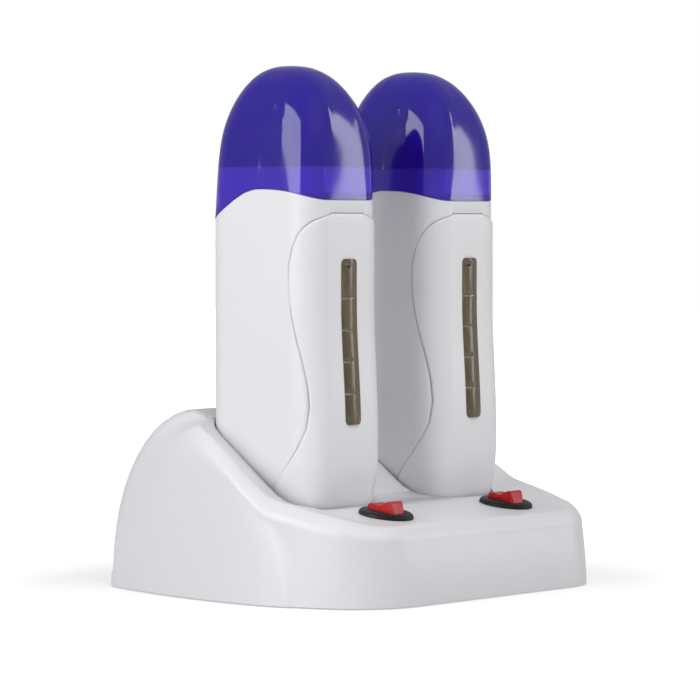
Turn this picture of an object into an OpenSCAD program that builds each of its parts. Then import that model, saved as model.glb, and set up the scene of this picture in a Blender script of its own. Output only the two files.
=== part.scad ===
// Double roll-on wax heater: two cartridge handpieces with clear domed caps, standing in a docking base.
// Millimetres, +Z up, the front is -Y. The origin is the middle of the base, on the surface it stands on.

/* [Handpieces] */
// Width of a handpiece, side to side
hp_w = 52; // [48:0.5:58]
// Depth of a handpiece, front to back
hp_d = 64; // [60:0.5:70]
// Corner radius of a handpiece, seen from above
hp_r = 12; // [10:0.5:14]
// Distance between the centres of the two handpieces
hp_pitch = 90; // [84:1:100]
// Height of the underside of a handpiece above the table
hp_foot_z = 24; // [22:0.5:26]
// Wall of the handpiece housing
hp_wall = 1.8; // [1.6:0.1:2]
// Height at which the lower end starts to tuck in
tuck_z = 60; // [56:1:64]
// How far the lower end has tucked in at the foot
tuck = 6.5; // [4:0.5:7]
// How far the front face swells forward near the foot
flare = 2.6; // [0:0.2:3]
// Highest point of the line where housing and cap meet
split_peak_z = 186.8; // [180:0.2:194]
// How much lower that line runs at the front
split_front_drop = 5; // [2:0.5:7]
// How much lower that line runs at the back
split_back_drop = 14.8; // [8:0.2:16]

/* [Front cover] */
// Height of the cover's upper edge
cover_top_z = 176; // [172:0.5:178]
// Thickness of the cover
cover_t = 1.8; // [1.6:0.1:2.2]
// How far the cover stands proud of the housing
cover_proud = 0.8; // [0.4:0.1:1]
// Height at which the waist of the cover is widest
cover_wide_z = 147; // [140:1:152]
// Height at which the waist of the cover is narrowest
cover_narrow_z = 88; // [82:1:94]
// Half width of the cover at its widest, measured round the housing
cover_wide = 34.5; // [33:0.5:37]
// Half width of the cover at its narrowest, measured round the housing
cover_narrow = 25; // [22:0.5:28]

/* [Window] */
// Width of the level window
window_w = 10.6; // [8:0.2:12]
// Length of the level window
window_h = 75.6; // [60:0.2:80]
// Height of the middle of the window
window_z = 117.2; // [112:0.2:122]
// Corner radius of the window
window_r = 2.4; // [2:0.1:4]
// Spacing of the level marks
mark_pitch = 14.5; // [12:0.5:15]
// Height of the middle mark above the middle of the window
mark_rise = 5.3; // [4:0.1:6]

/* [Cap] */
// Highest point of the cap
cap_top_z = 243.7; // [236:0.1:252]
// Wall of the cap
cap_wall = 1.8; // [1.6:0.1:2.2]
// How far the cap stands proud of the housing
cap_proud = 0.1; // [0:0.1:0.6]
// Roundness of the dome, 2 is an ellipse
cap_power = 2.55; // [2.2:0.05:2.7]
// How far the top of the cap leans back
cap_lean = 1.6; // [0:0.2:2]
// How far the cap swells forward at half its height
cap_forward = 0.9; // [0:0.1:1]

/* [Sleeve and heater] */
// Height of the neck that the cap fits over, as a share of the cap's height
neck_share = 0.18; // [0.14:0.01:0.2]
// Wall of the sleeve that holds the wax cartridge
sleeve_wall = 1.6; // [1.4:0.1:1.8]
// Height of the seat that the sleeve stands on
sleeve_z = 62; // [60:1:66]
// Width of the heating plate
plate_w = 28; // [24:1:28]
// Height of the heating plate
plate_h = 96; // [70:1:104]
// Thickness of the heating plate
plate_t = 2; // [1.5:0.1:3]
// Width of the ceramic heating element
ptc_w = 22; // [16:1:23]
// Height of the ceramic heating element
ptc_h = 36; // [30:1:40]
// Thickness of the ceramic heating element
ptc_t = 2.6; // [2:0.1:3]
// Diameter of the thermostat
thermostat_d = 12; // [10:0.5:13]

/* [Base] */
// Width of the base at its widest
base_w = 202; // [192:1:215]
// Depth of the base
base_d = 183; // [178:0.5:196]
// Width of the base at its front
base_front_w = 165; // [152:1:172]
// Width of the base at its back
base_back_w = 140; // [130:1:150]
// Distance from the front of the base to the middle of the handpieces
hp_setback = 83.5; // [82:0.5:86]
// Distance from the middle of the handpieces forward to the widest place
widest_ahead = 26; // [18:1:30]
// Corner radius at the front of the base
front_r = 21; // [18:1:24]
// Corner radius at the back of the base
back_r = 18; // [14:1:22]
// Wall of the base shell
base_wall = 2.5; // [2.2:0.1:3]
// Height of the deck at the crease
deck_z = 44.6; // [43:0.2:48]
// Fall of the deck towards the front, in degrees
deck_slope = 8.5; // [6:0.5:11]
// Rise of the ramp towards the back, in degrees
ramp_slope = 38.5; // [36:0.5:40]
// Distance from the middle of the handpieces forward to the crease
crease_ahead = 16; // [14:0.5:18]
// Height of the crest behind the handpieces
crest_z = 86.5; // [84:0.5:88]
// Distance from the middle of the handpieces back to the crest
crest_behind = 44; // [42:0.5:48]
// Radius of the upper edges
edge_r = 8; // [5:0.5:9]
// How far a side leans in at the height of the deck
side_lean = 3; // [2:0.2:4]
// How far the rear part of each side stands proud
cheek_proud = 1; // [0.6:0.1:1.4]
// How far the deck and ramp curve forward and up towards the sides
side_sweep = 8; // [4:0.5:10]
// Height of the rubber feet below the base
foot_h = 0.5; // [0.4:0.1:1.6]
// Clearance between a handpiece and its well
well_gap = 0.6; // [0.4:0.1:0.8]
// Wall of a well
well_wall = 2; // [1.6:0.1:2.2]

/* [Switches] */
// Diameter of the switch bezel
bezel_d = 25.2; // [23:0.1:26]
// Height of the bezel above the deck
bezel_h = 2.2; // [1.8:0.1:2.6]
// Diameter of the switch body below the deck
switch_d = 20; // [19.8:0.1:20.6]
// Distance from the middle of the handpieces forward to the switches
switch_ahead = 54.7; // [53:0.1:57]
// Length of the rocker, front to back
rocker_l = 15; // [13.5:0.1:15.2]
// Width of the rocker
rocker_w = 8.6; // [8:0.1:9]
// Height of the rocker above its pivot
rocker_h = 6; // [5.5:0.1:7]
// Tilt of the rocker to each side, in degrees
rocker_tilt = 14; // [10:0.5:15]

/* [Plug connections] */
// Distance between the two pins
pin_pitch = 8.6; // [8:0.1:9]
// Diameter of a pin
pin_d = 2.4; // [2.3:0.05:2.6]
// Height of the plug post above the floor of the well
post_h = 13; // [11:0.5:14]
// Width of the plug post
post_w = 16.6; // [16:0.1:18]
// Thickness of the plug post
post_t = 8; // [7.8:0.1:8.6]
// Clearance of the post in the handpiece socket
post_gap = 0.35; // [0.2:0.05:0.6]
// Height of the middle of the mains inlet above the table
inlet_z = 24; // [22:0.5:28]

/* [Hidden] */

white = "#e4e4e9";
violet = "#3a23a8";
red = "#c8282a";
black = "#1b1b1e";
brass = "#c9a55a";
alloy = "#b9bcc2";
steel = "#9a9da3";
ceramic = "#d9d3c4";

$fn = 48;
fit_gap = 0.15;
seat_gap = 0.1;

// ---- handpiece outline ----

hp_y = hp_setback - base_d / 2;
neck_top_z = split_peak_z + neck_share * (cap_top_z - split_peak_z);
half_w = hp_w / 2;
half_d = hp_d / 2;
front_run = half_w - hp_r;
side_run = hp_d - 2 * hp_r;
corner_run = hp_r * PI / 2;
half_round = 2 * front_run + 2 * corner_run + side_run;
lower_z = 160;

// Point and outward normal at a distance s round the outline, from the middle of the front to the middle of the back
function outline(s) =
    s < front_run ? [s, -half_d, 0, -1]
    : s < front_run + corner_run ? corner_at(front_run, hp_r - half_d, (s - front_run) / hp_r * 180 / PI - 90)
    : s < front_run + corner_run + side_run ? [half_w, hp_r - half_d + s - front_run - corner_run, 1, 0]
    : s < front_run + 2 * corner_run + side_run
        ? corner_at(front_run, half_d - hp_r, (s - front_run - corner_run - side_run) / hp_r * 180 / PI)
    : [half_round - s, half_d, 0, 1];
function corner_at(x, y, a) = [x + hp_r * cos(a), y + hp_r * sin(a), cos(a), sin(a)];

function smooth(t) = let (u = max(0, min(1, t))) u * u * (3 - 2 * u);
function mix(a, b, t) = a + (b - a) * t;
function mirror_x(p) = [-p.x, p.y, p.z];

// Line where housing and cap meet, as a height for each depth y from the middle of the handpiece
function split_z(y) =
    y > 0 ? split_peak_z - split_back_drop * (1 - cos(180 * y / (half_d * 1.125))) / 2
    : split_peak_z - split_front_drop * pow(-y / half_d, 2.5);

// Levels above lower_z bend with the split line, so that the last one is the split line itself
function level_z(level, y) =
    level <= lower_z ? level : lower_z + (level - lower_z) * (split_z(y) - lower_z) / (split_peak_z - lower_z);
cover_top_level = lower_z
    + (cover_top_z - lower_z) * (split_peak_z - lower_z) / (split_peak_z - split_front_drop - lower_z);

foot_edge = 3;
function tuck_in(z) =
    tuck * pow(max(0, tuck_z - z) / (tuck_z - hp_foot_z), 1.3)
    + (z < hp_foot_z + foot_edge ? foot_edge - sqrt(pow(foot_edge, 2) - pow(hp_foot_z + foot_edge - z, 2)) : 0);
flare_from_z = 135;
flare_to_z = 75;
function flare_at(z) = flare * smooth((flare_from_z - z) / (flare_from_z - flare_to_z));

// Point of the handpiece skin: distance s round the outline, level, and depth below the outline
function skin(s, level, depth) =
    let (o = outline(abs(s)), z0 = level_z(level, o[1]), d = depth + tuck_in(z0))
    let (x = o[0] - o[2] * d, y = o[1] - o[3] * d)
    [sign(s) * x, y - flare_at(z0) * pow(max(0, -y / half_d), 2), z0];

// Half width of the cover, measured round the housing: a wide upper part, a narrow waist and a spreading foot
cover_top_half = 12;
cover_foot = 44;
cover_turn = cover_top_z - cover_wide_z;
function cover_edge(z) =
    z > cover_wide_z
        ? cover_wide - (cover_wide - cover_top_half)
            * (1 - sqrt(max(0, 1 - pow((z - cover_wide_z) / cover_turn, 2))))
    : z > cover_narrow_z
        ? mix(cover_narrow, cover_wide, (1 + cos(180 * (cover_wide_z - z) / (cover_wide_z - cover_narrow_z))) / 2)
    : min(cover_foot, cover_narrow + 0.0154 * pow(cover_narrow_z - z, 2));
function edge_at(level) = cover_edge(min(cover_top_z, level_z(level, -half_d * 0.8)));

// ---- helpers for closed lofts: rings of equal length, counter-clockwise seen from above ----

// Each four-sided face is split along the diagonal that bulges further out, so round walls stay round
function reach(p, q) = norm([p.x + q.x, p.y + q.y]);
function ring_faces(rings, count, first) = [
    for (j = [0 : len(rings) - 2]) for (i = [0 : count - 1])
        let (k = (i + 1) % count, a = first + j * count + i, b = first + j * count + k)
        let (rising = reach(rings[j][i], rings[j + 1][k]) > reach(rings[j][k], rings[j + 1][i]))
        each rising
            ? [[a, a + count, b + count], [a, b + count, b]]
            : [[a, a + count, b], [b, a + count, b + count]]
];
function flip(faces) = [for (f = faces) [f[0], f[2], f[1]]];
function fan(ring, count, tip) = [for (i = [0 : count - 1]) [ring + (i + 1) % count, ring + i, tip]];

module loft(rings, low_tip, high_tip) {
    count = len(rings[0]);
    points = [for (r = rings) each r, low_tip, high_tip];
    last = (len(rings) - 1) * count;
    faces = concat(
        ring_faces(rings, count, 0),
        flip(fan(0, count, last + count)),
        fan(last, count, last + count + 1)
    );
    polyhedron(points, faces);
}

module rounded(w, d, r) {
    square([w - 2 * r, d], center = true);
    square([w, d - 2 * r], center = true);
    for (x = [-1, 1], y = [-1, 1]) translate([x * (w / 2 - r), y * (d / 2 - r)]) circle(r);
}

module stadium(w, t) {
    square([w - t, t], center = true);
    for (x = [-1, 1]) translate([x * (w - t) / 2, 0]) circle(t / 2);
}

module at_hand(side) {
    translate([side * hp_pitch / 2, hp_y, 0]) children();
}

// ---- handpiece ----

housing_levels = concat(
    [hp_foot_z, hp_foot_z + 1, hp_foot_z + 3, 38, 45, 51, 57, 63, 70, 78],
    [88, 98, 108, 119, 130, 141, 152, 161, 166.5, 171, 174.5, 177.2, cover_top_level - 0.9, cover_top_level - 0.3]
);
step_w = 0.16;

function side_start(edge) = max(front_run + corner_run, edge) + 3;
back_start = front_run + corner_run + side_run;
function housing_knots(edge) = concat(
    [0],
    [for (k = [0 : 5]) mix(min(front_run, edge * 0.9), edge - step_w, k / 5)],
    [for (k = [0 : 6]) mix(edge + step_w, side_start(edge), k / 7)],
    [for (k = [0 : 5]) mix(side_start(edge), back_start, k / 6)],
    [for (k = [0 : 5]) back_start + corner_run * k / 5],
    [half_round]
);
function housing_ring(level, recess) =
    let (edge = edge_at(level), knots = housing_knots(edge), n = len(knots))
    let (right = [for (s = knots) skin(s, level, s < edge ? recess : 0)])
    concat(right, [for (i = [n - 2 : -1 : 1]) mirror_x(right[i])]);

cover_recess = cover_t - cover_proud;
cover_gap = 0.1;
socket_w = post_w + 2 * post_gap;
socket_t = post_t + 2 * post_gap;
pocket_w = hp_w - 2 * hp_wall;
pocket_d = hp_d - 2 * hp_wall;
pocket_r = hp_r - hp_wall;
flange_w = 34;
flange_d = 24;
flange_t = 2.4;
flange_r = 5;
lower_room = 7.5;
floor_t = 3;
screw_x = 13.5;

module window_hole(gap, depth) {
    translate([0, -half_d - 8, window_z]) rotate([-90, 0, 0]) linear_extrude(depth + 8)
        rounded(window_w + 2 * gap, window_h + 2 * gap, window_r + gap);
}

module housing() {
    color(white) difference() {
        loft(
            concat(
                [for (l = housing_levels) housing_ring(l, cover_recess)],
                [housing_ring(cover_top_level, cover_recess), housing_ring(cover_top_level + 0.3, 0)],
                [housing_ring(split_peak_z, 0)]
            ),
            [0, 0, hp_foot_z],
            [0, 0, split_z(half_d) - 1]
        );
        translate([0, 0, sleeve_z]) linear_extrude(cap_top_z) rounded(pocket_w, pocket_d, pocket_r);
        translate([0, 0, hp_foot_z + floor_t + flange_t]) linear_extrude(sleeve_z)
            rounded(hp_w - 2 * lower_room, hp_d - 2 * lower_room, hp_r - 2);
        translate([0, 0, hp_foot_z - 1]) linear_extrude(1 + flange_t + fit_gap)
            rounded(flange_w + 2 * fit_gap, flange_d + 2 * fit_gap, flange_r + fit_gap);
        translate([0, 0, hp_foot_z]) linear_extrude(20)
            rounded(block_w + 2 * fit_gap, block_d + 2 * fit_gap, 3 + fit_gap);
        for (x = [-1, 1]) translate([x * screw_x, 0, hp_foot_z]) cylinder(d = screw_core, h = 12);
        translate([-window_w / 2 - 1.6, -half_d - 6, window_z - window_h / 2 - 2])
            cube([window_w + 3.2, 12, window_h + 4]);
    }
}

cover_levels = concat(
    [38, 45, 51, 57, 63, 70, 78, 88, 98, 108, 119, 130, 141, 152],
    [161, 166.5, 171, 174.5, 177.2, cover_top_level - 0.9, cover_top_level - 0.3]
);
function cover_outside(edge) = concat(
    [front_run * 0.5],
    [for (k = [0 : 5]) mix(min(front_run, edge * 0.8), edge - 1.1, k / 5)],
    [edge - 0.35, edge]
);
// The inner run follows the knots of the recess it lies in
function cover_inside(edge) = let (e = edge + 2 * step_w)
    concat([for (k = [0 : 4]) mix(min(front_run, e * 0.9), e - step_w, k / 5)], [edge]);
function cover_skin(half, edge, level, depth, way) =
    let (m = len(half) - 1)
    let (rim = min(1, (cover_top_level - level) * 0.8))
    let (knots = concat([for (k = [m : -1 : 0]) -half[k]], half))
    [for (k = [0 : len(knots) - 1])
        let (s = knots[way > 0 ? k : len(knots) - 1 - k])
        skin(s, level, depth < 0 ? depth * min(rim, abs(s) > edge - 0.1 ? 0.1 : abs(s) > edge - 0.5 ? 0.7 : 1) : depth)];
function cover_ring(level) =
    let (edge = edge_at(level) - 2 * step_w)
    concat(
        cover_skin(cover_outside(edge), edge, level, -cover_proud, 1),
        cover_skin(cover_inside(edge), edge, level, cover_recess - cover_gap, -1)
    );

// A shell between an outer run of points and a shorter inner run, closed at both ends
module front_cover() {
    rings = [for (l = cover_levels) cover_ring(l)];
    count = len(rings[0]);
    m = len(rings);
    last = (m - 1) * count;
    color(white) difference() {
        polyhedron(
            [for (r = rings) each r],
            concat(ring_faces(rings, count, 0), end_faces(count, 0), flip(end_faces(count, last)))
        );
        window_hole(0.1, half_d);
    }
}

// Triangles across the end of the cover, zipped between its outer and inner runs
out_n = 18;
in_n = 12;
function end_faces(count, first) = concat(
    [for (i = [0 : in_n - 2]) let (o = round(i * (out_n - 1) / (in_n - 1)), p = round((i + 1) * (out_n - 1) / (in_n - 1)))
        each concat(
            [for (q = [o : p - 1]) [first + q, first + q + 1, first + count - 1 - i]],
            [[first + p, first + count - 2 - i, first + count - 1 - i]]
        )]
);

window_proud = 0.3;
window_bulge = 0.9;
function window_face(z) = -half_d - cover_proud - flare_at(z) - window_proud;
function window_ring(z) = concat(
    [for (x = [-1, -0.8, -0.45, 0, 0.45, 0.8, 1])
        [x * (window_w / 2 + 0.6), window_face(z) - window_bulge * (1 - x * x), z]],
    [[window_w / 2 + 0.6, -sleeve_d / 2 - seat_gap, z], [-window_w / 2 - 0.6, -sleeve_d / 2 - seat_gap, z]]
);

// Clear bar with a bulged face that follows the housing, and the level marks moulded in it
module window() {
    color("#9a917e") difference() {
        intersection() {
            window_hole(0, half_d);
            loft(
                [for (k = [-6 : 6]) window_ring(window_z + k * (window_h + 4) / 12)],
                [0, -half_d, window_z - window_h / 2 - 2],
                [0, -half_d, window_z + window_h / 2 + 2]
            );
        }
        for (k = [-2 : 2]) let (z = window_z + mark_rise + k * mark_pitch)
            translate([-window_w / 2 - 1, window_face(z) - 6, z - 0.35]) cube([window_w * 0.5 + 1, 6, 0.7]);
    }
}

sleeve_gap = 0.6;
sleeve_w = pocket_w - 2 * sleeve_gap;
sleeve_d = pocket_d - 2 * sleeve_gap;
sleeve_r = pocket_r - sleeve_gap;
bore_w = sleeve_w - 2 * sleeve_wall;
bore_d = sleeve_d - 2 * sleeve_wall;
plate_z = sleeve_z + 14;

// Open sleeve for the cartridge: a neck at the top, a slot behind the window, ribs that keep the cartridge central
module cartridge_sleeve() {
    color("#dcdce2") difference() {
        translate([0, 0, sleeve_z]) linear_extrude(neck_top_z - sleeve_z) difference() {
            rounded(sleeve_w, sleeve_d, sleeve_r);
            difference() {
                rounded(bore_w, bore_d, sleeve_r - sleeve_wall);
                for (x = [-1, 1], y = [-13, 13]) translate([x * bore_w / 2, y]) square([3, 1.2], center = true);
            }
        }
        translate([0, 0, neck_top_z - 1]) linear_extrude(2) rounded(bore_w, bore_d, sleeve_r - sleeve_wall);
        window_hole(-1.6, half_d);
    }
}

plate_y = bore_d / 2 - seat_gap - ptc_t - plate_t;

// Aluminium plate that presses on the cartridge, with turned-back side flanges
module heating_plate() {
    color(alloy) translate([0, 0, plate_z]) linear_extrude(plate_h) {
        translate([-plate_w / 2, plate_y]) square([plate_w, plate_t]);
        for (x = [-1, 1]) translate([x * (plate_w - plate_t) / 2, plate_y + plate_t + ptc_t / 2 - 0.01])
            square([plate_t, ptc_t + 0.02], center = true);
    }
}

module ptc_element() {
    color(ceramic) translate([0, plate_y + plate_t + ptc_t / 2, plate_z + plate_h * 0.4])
        cube([ptc_w, ptc_t, ptc_h], center = true);
}

thermostat_h = 2.4;
thermostat_z = plate_z + plate_h * 0.4 + ptc_h / 2 + thermostat_d / 2 + 1;

module thermostat() {
    color(steel) translate([0, plate_y + plate_t, thermostat_z]) rotate([-90, 0, 0]) {
        cylinder(d = thermostat_d, h = thermostat_h * 0.6);
        cylinder(d = thermostat_d * 0.8, h = thermostat_h);
    }
}

block_w = 24;
block_d = 16;
block_h = 20;
socket_depth = post_h + 1.5;

// Moulded socket in the foot of the handpiece: flange below, block above, recess for the plug post
module socket_block() {
    color(black) difference() {
        translate([0, 0, hp_foot_z]) union() {
            linear_extrude(flange_t) rounded(flange_w, flange_d, flange_r);
            linear_extrude(block_h) rounded(block_w, block_d, 3);
        }
        translate([0, 0, hp_foot_z - 1]) linear_extrude(socket_depth + 1) stadium(socket_w, socket_t);
        for (x = [-1, 1]) {
            translate([x * pin_pitch / 2, 0, hp_foot_z]) cylinder(d = pin_d, h = block_h + 1);
            translate([x * screw_x, 0, hp_foot_z - 1]) cylinder(d = screw_shank, h = 6);
            translate([x * screw_x, 0, hp_foot_z - 1]) cylinder(d = screw_head + 0.3, h = 1 + screw_head_t);
        }
    }
}

pin_reach = 10.5;

module socket_pins() {
    color(brass) for (x = [-1, 1]) translate([x * pin_pitch / 2, 0, hp_foot_z + socket_depth - pin_reach]) {
        translate([0, 0, pin_d / 2]) cylinder(d = pin_d, h = block_h + 3 - socket_depth + pin_reach - pin_d / 2);
        translate([0, 0, pin_d / 2]) sphere(d = pin_d);
    }
}

screw_core = 2.2;
screw_shank = 3;
screw_head = 4.6;
screw_head_t = 1.5;

module socket_screws() {
    color(steel) for (x = [-1, 1]) translate([x * screw_x, 0, hp_foot_z]) {
        difference() {
            cylinder(d = screw_head, h = screw_head_t);
            translate([0, 0, -0.1]) for (a = [0, 90]) rotate(a)
                translate([-1.3, -0.35, 0]) cube([2.6, 0.7, 0.9]);
        }
        cylinder(d = screw_core, h = 9);
    }
}

lead_d = 1.6;

// Two leads from the pins up to the heater
module heater_leads() {
    start_z = hp_foot_z + block_h + 3;
    end_y = plate_y + plate_t + ptc_t / 2;
    end_z = plate_z + plate_h * 0.4 - ptc_h / 2;
    bend_z = sleeve_z + 5;
    color("#b8452f") for (x = [-1, 1]) {
        translate([x * pin_pitch / 2, 0, start_z]) cylinder(d = lead_d, h = bend_z - start_z);
        translate([x * pin_pitch / 2, 0, bend_z]) sphere(d = lead_d);
        translate([x * pin_pitch / 2, 0, bend_z]) rotate([-90, 0, 0]) cylinder(d = lead_d, h = end_y);
        translate([x * pin_pitch / 2, end_y, bend_z]) sphere(d = lead_d);
        translate([x * pin_pitch / 2, end_y, bend_z]) cylinder(d = lead_d, h = end_z - bend_z - seat_gap);
    }
}

// ---- cap ----

cap_base_w = half_w + cap_proud;
cap_base_d = half_d + cap_proud;
cap_round = 6;
cap_side = 8;
cap_seat = 0.3;

// Closed outline with the same number of points at any size
function cap_outline(a, b, r) = concat(
    [for (i = [1 : cap_side - 1]) [a, mix(-(b - r), b - r, i / cap_side)]],
    [for (i = [0 : cap_round]) let (t = 90 * i / cap_round) [a - r + r * cos(t), b - r + r * sin(t)]],
    [for (i = [0 : cap_round]) let (t = 90 + 90 * i / cap_round) [r - a + r * cos(t), b - r + r * sin(t)]],
    [for (i = [1 : cap_side - 1]) [-a, mix(b - r, -(b - r), i / cap_side)]],
    [for (i = [0 : cap_round]) let (t = 180 + 90 * i / cap_round) [r - a + r * cos(t), r - b + r * sin(t)]],
    [for (i = [0 : cap_round]) let (t = 270 + 90 * i / cap_round) [a - r + r * cos(t), r - b + r * sin(t)]]
);

// Ring of the dome at an angle up its superellipse, drawn in by a wall
function cap_ring(angle, wall) =
    let (k = pow(cos(angle), 2 / cap_power), rise = pow(sin(angle), 2 / cap_power))
    let (a = (cap_base_w - wall) * k, b = (cap_base_d - wall) * k, r = a * pow((hp_r - wall) / cap_base_w, pow(k, 3)))
    let (level = (cap_top_z - wall - split_peak_z) * rise, hang = 1 - smooth(level / 22))
    [for (p = cap_outline(a, b, r))
        [p.x, p.y + cap_shift(rise, wall), split_peak_z + cap_seat + level - (split_peak_z - split_z(max(-half_d, min(half_d, p.y)))) * hang]];
function cap_shift(rise, wall) =
    cap_lean * pow(rise, 5) - cap_forward * (wall > 0 ? 0.12 : 1) * sin(180 * pow(rise, 0.85));
cap_angles = [0, 9, 18, 27, 36, 45, 53, 61, 69, 76, 83];
inner_angles = [0, 9, 18, 36, 53, 69, 83];

module cap() {
    outer = [for (a = cap_angles) cap_ring(a, 0)];
    inner = [for (a = inner_angles) cap_ring(a, cap_wall)];
    count = len(outer[0]);
    m = len(outer);
    n = len(inner);
    inner_first = m * count;
    tips = (m + n) * count;
    rim = [for (i = [0 : count - 1]) let (j = (i + 1) % count)
        each [[i, j, inner_first + i], [j, inner_first + j, inner_first + i]]];
    color(violet, 0.6) polyhedron(
        concat(
            [for (r = outer) each r],
            [for (r = inner) each r],
            [[0, cap_lean, cap_top_z + cap_seat], [0, cap_lean, cap_top_z - cap_wall + cap_seat]]
        ),
        concat(
            ring_faces(outer, count, 0),
            flip(ring_faces(inner, count, inner_first)),
            fan((m - 1) * count, count, tips),
            flip(fan(inner_first + (n - 1) * count, count, tips + 1)),
            rim
        )
    );
}

// ---- base shell ----

base_front = hp_setback;
base_back = base_d - hp_setback;
base_half = base_w / 2 - cheek_proud;
deck_level = 45;

// Half width of the base at a distance v behind the middle of the handpieces
function base_x(v) =
    v > -widest_ahead
        ? mix(base_half, base_back_w / 2, pow((v + widest_ahead) / (base_back + widest_ahead), 1.8))
        : mix(base_half, base_front_w / 2, pow((-widest_ahead - v) / (base_front - widest_ahead), 1.6));

// Height of the top: a falling deck, a ramp and a rounded crest, blended into each other
crease_soft = 3;
crest_soft = 7;
function base_top(v) =
    let (deck = deck_z + (v + crease_ahead) * tan(deck_slope), ramp = deck_z + (v + crease_ahead) * tan(ramp_slope))
    let (t = (deck + ramp + sqrt(pow(deck - ramp, 2) + pow(crease_soft, 2))) / 2)
    (t + crest_z - sqrt(pow(t - crest_z, 2) + pow(crest_soft, 2))) / 2;

// The deck and ramp sweep forward and up towards the sides
sweep_from = 70;
sweep_to = 93;
function top_z(x, v) =
    let (u = pow(max(0, min(1.2, (x - sweep_from) / (sweep_to - sweep_from))), 1.5))
    base_top(v + side_sweep * u) + 0.45 * side_sweep * u;

// Columns from front to back: where each stands at the floor, at the shoulder and on the top
side_columns = [
    [-55, -51, -50, 0], [-51, -41, -40, 0], [-47, -33, -31, 0], [-43.7, -26.2, -24, 0],
    [-42.3, -24.8, -22.6, 1], [-37, -21, -19, 1], [-30, -16, -14, 1], [-21, -9, -8, 1],
    [-9, -2, -1, 1], [5, 8, 7, 1], [18, 18, 15, 1], [31, 30, 22, 1], [45, 44, 27, 1], [58, 57, 30, 1], [70, 70, 32, 1]
];
crest_corner = 10;
turns = [0, 15, 30, 45, 60, 75, 90];

rise_from = -10;
function rise_of(v, top) = mix(edge_r, top - 8, smooth((v - rise_from) / (base_back - back_r - rise_from)));

// One column: the wall up to the shoulder, a quarter round onto the top, then inwards. off draws the whole skin inwards.
// A tall round keeps its side nearly flat and turns in close to the top
function column(foot, shoulder, top_at, top, rise, proud, off) =
    let (flat = 1 + min(1, (rise - edge_r) / 40), fine = off > 0 ? 15 : 7.5)
    let (z1 = top - rise, x_in = top_at.x > sweep_from + 6 ? sweep_from - 2 : top_at.x - 8)
    concat(
        [for (w = [0, 0.3, 0.6, 0.85, 1])
            let (z = mix(foot_h, z1, w), t = pow(w, 2.2), fade = proud * (1 - smooth((w - 0.7) / 0.3)))
            [mix(foot.x, shoulder.x, t) - side_lean * z / deck_level + fade, mix(foot.y, shoulder.y, t), z]],
        [for (a = [fine : fine : 90])
            [mix(shoulder.x - side_lean * z1 / deck_level, top_at.x, pow(1 - cos(a), flat)), mix(shoulder.y, top_at.y, 1 - cos(a)),
                z1 + (rise - off) * sin(a)]],
        [for (t = [0.35, 0.7, 1]) let (x = mix(top_at.x, x_in, t), v = top_at.y * (1 - 0.03 * t)) [x, v, top_z(x, v) - off]]
    );

function front_column(a, off) =
    let (v0 = -(base_front - front_r), x0 = base_x(v0 - front_r * sin(a)) - front_r)
    let (r1 = front_r - off, inner = front_r - edge_r - side_lean)
    let (at = [x0 + inner * cos(a), v0 - inner * sin(a)], foot = [x0 + r1 * cos(a), v0 - r1 * sin(a)])
    column(foot, foot + [side_lean * (1 - cos(a)), side_lean * sin(a)], at, top_z(at.x, at.y), edge_r, 0, off);

function side_column(c, off) =
    let (x = base_x(c[2]) - side_lean - edge_r, crest_x = base_x(base_back - back_r) - 6)
    let (at = [mix(x, crest_x, smooth((c[0] - 25) / 45)), c[2]], top = top_z(at.x, at.y))
    column([base_x(c[0]) - off, c[0]], [base_x(c[1]) - off, c[1]], at, top, rise_of(c[0], top), c[3] * cheek_proud, off);

function back_column(a, off) =
    let (v0 = base_back - back_r, x0 = base_x(v0 + back_r * sin(a)) - back_r, r1 = back_r - off)
    let (foot = [x0 + r1 * cos(a), v0 + r1 * sin(a)])
    let (at = [base_x(v0) - 6 - crest_corner * (1 - cos(a)), crest_behind - crest_corner * (1 - sin(a))])
    let (top = base_top(at.y))
    column(foot, foot, at, top, top - 8, cheek_proud, off);

function base_columns(off) = concat(
    [for (a = [90, 72, 54, 36, 18, 0]) front_column(a, off)],
    [for (c = side_columns) side_column(c, off)],
    [for (a = turns) back_column(a, off)]
);

function base_rings(off) =
    let (cols = base_columns(off), n = len(cols), m = len(cols[0]))
    [for (j = [0 : m - 1]) concat(
        [for (i = [0 : n - 1]) cols[i][j]],
        [for (i = [n - 1 : -1 : 0]) mirror_x(cols[i][j])]
    )];

module base_skin() {
    outer = base_rings(0);
    inner = base_rings(base_wall);
    count = len(outer[0]);
    half = count / 2;
    first_in = len(outer) * count;
    top = first_in - count;
    top_in = first_in + (len(inner) - 1) * count;
    strips = [for (i = [0 : half - 2])
        each [[i + 1, i, count - 2 - i], [i, count - 1 - i, count - 2 - i]]];
    rim = [for (i = [0 : count - 1]) let (j = (i + 1) % count)
        each [[i, j, first_in + i], [j, first_in + j, first_in + i]]];
    polyhedron(
        concat([for (r = outer) each r], [for (r = inner) each r]),
        concat(
            ring_faces(outer, count, 0),
            flip(ring_faces(inner, count, first_in)),
            [for (f = strips) f + [top, top, top]],
            [for (f = flip(strips)) f + [top_in, top_in, top_in]],
            rim
        )
    );
}

well_w = hp_w + 2 * well_gap;
well_front = half_d + flare - 1.3;
well_back = half_d + well_gap;
well_d = well_front + well_back;
well_y = (well_back - well_front) / 2;
well_r = hp_r + well_gap;
floor_z = hp_foot_z - seat_gap;
well_floor_t = 2.5;

// Slab under the top skin, used to trim the wells to the slope
module under_top(depth, width) {
    rotate([90, 0, 90]) translate([0, 0, -width / 2]) linear_extrude(width)
        polygon(concat(
            [for (v = [-40 : 6 : 44]) [v, base_top(v) - depth]],
            [[44, 0], [-40, 0]]
        ));
}

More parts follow.
